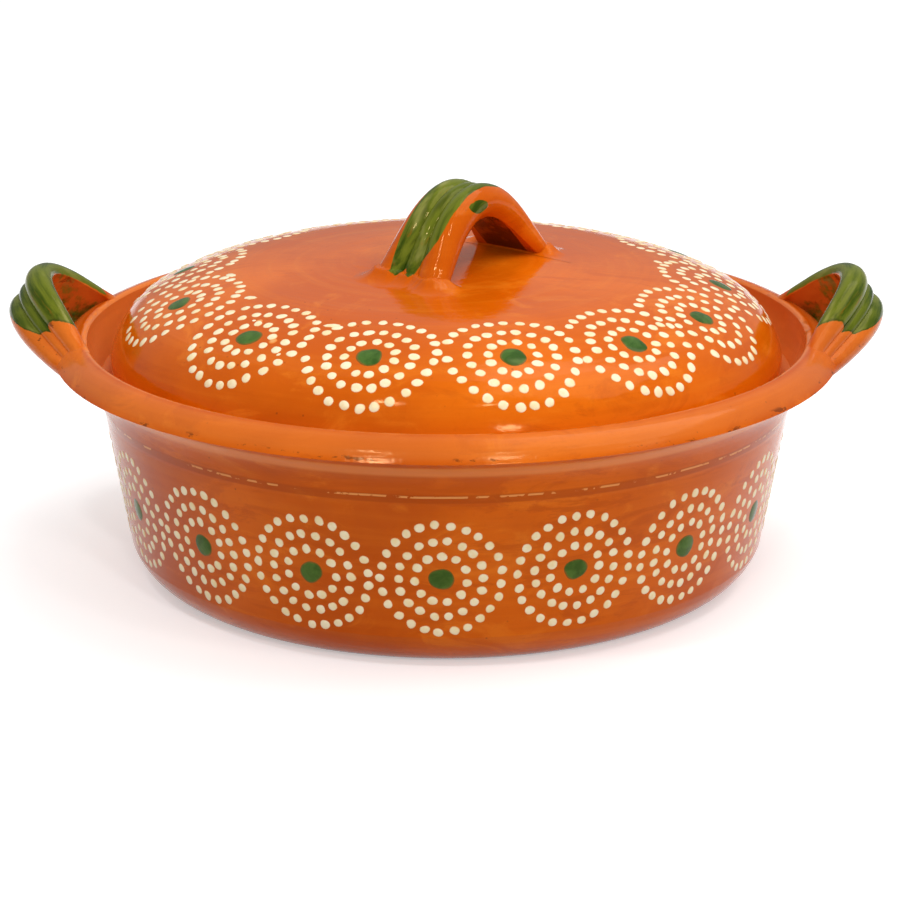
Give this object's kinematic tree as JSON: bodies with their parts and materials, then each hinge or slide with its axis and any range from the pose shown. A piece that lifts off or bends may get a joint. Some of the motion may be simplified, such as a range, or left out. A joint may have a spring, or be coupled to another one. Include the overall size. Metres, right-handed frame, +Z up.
{
  "type": "casserole dish",
  "caption": "Round glazed clay casserole dish with a flared rim, side strap handles and a domed lid with a fluted strap handle.",
  "frame": {"origin": "centre of the bounding box's base, under the middle of the foot", "axes": "+X through the two side handles, +Y to the back, +Z up"},
  "size_m": [0.3794, 0.3366, 0.1699],
  "materials": {
    "terracotta_dish": "glossy clear glaze over red clay",
    "terracotta_lid": "glossy clear glaze over red clay",
    "cream_slip": "glossy cream slip dots under the glaze",
    "green_glaze": "glossy green glaze on the handles and dot centres"
  },
  "bodies": {
    "root": {"dish": "terracotta_dish", "lid": "terracotta_lid"}
  },
  "joints": []
}
